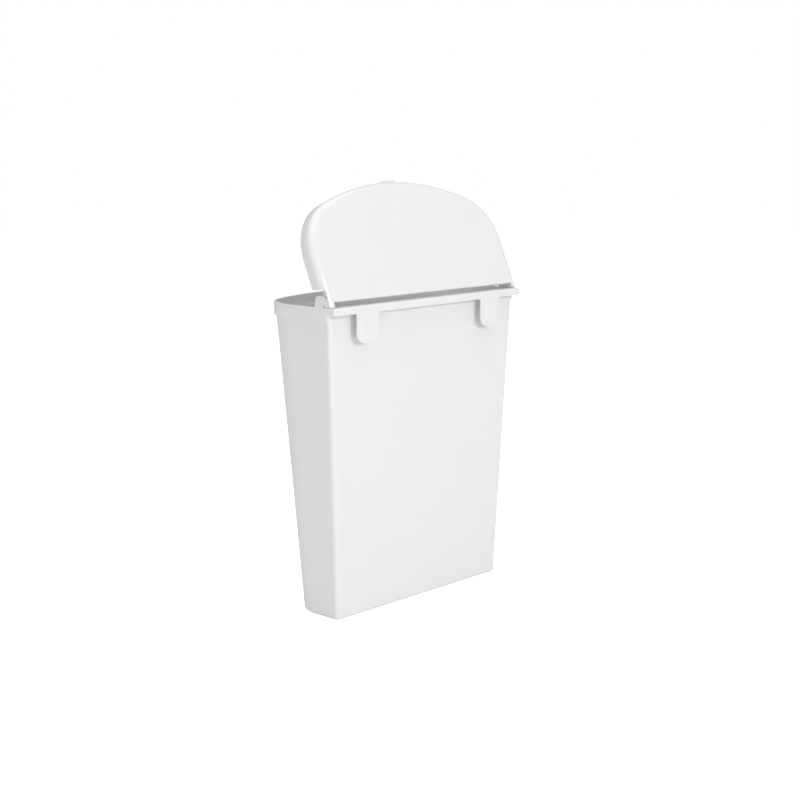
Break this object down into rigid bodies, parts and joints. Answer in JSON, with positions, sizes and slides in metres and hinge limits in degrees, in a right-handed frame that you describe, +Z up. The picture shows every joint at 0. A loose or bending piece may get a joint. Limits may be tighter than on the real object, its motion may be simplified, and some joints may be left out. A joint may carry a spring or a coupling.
{
  "type": "hang-on waste bin",
  "caption": "Slim waste bin with a hinged lid and a rear hooking flange that hangs it on a door or wall bracket; shown open.",
  "frame": {"origin": "middle of the base, at the floor, below the middle of the overall depth", "axes": "+Z up; +Y to the rear, the side that hangs on the wall or door; +X to the left of someone who stands in front and looks at the wall"},
  "size_m": [0.299, 0.141, 0.452],
  "materials": {
    "body": "glossy white polypropylene moulding",
    "lid": "glossy white polypropylene moulding",
    "pin": "white acetal or nylon pin, domed and polished"
  },
  "bodies": {
    "bin": {"bin_body": "body"},
    "lid": {"lid": "lid", "hinge_pin_left": "pin", "hinge_pin_right": "pin"}
  },
  "joints": [
    {"name": "lid_hinge", "type": "hinge", "parent": "bin", "child": "lid", "pos_m": [0, 0.05205, 0.3366], "axis": [1, 0, 0], "range_deg": [0, 67]}
  ]
}
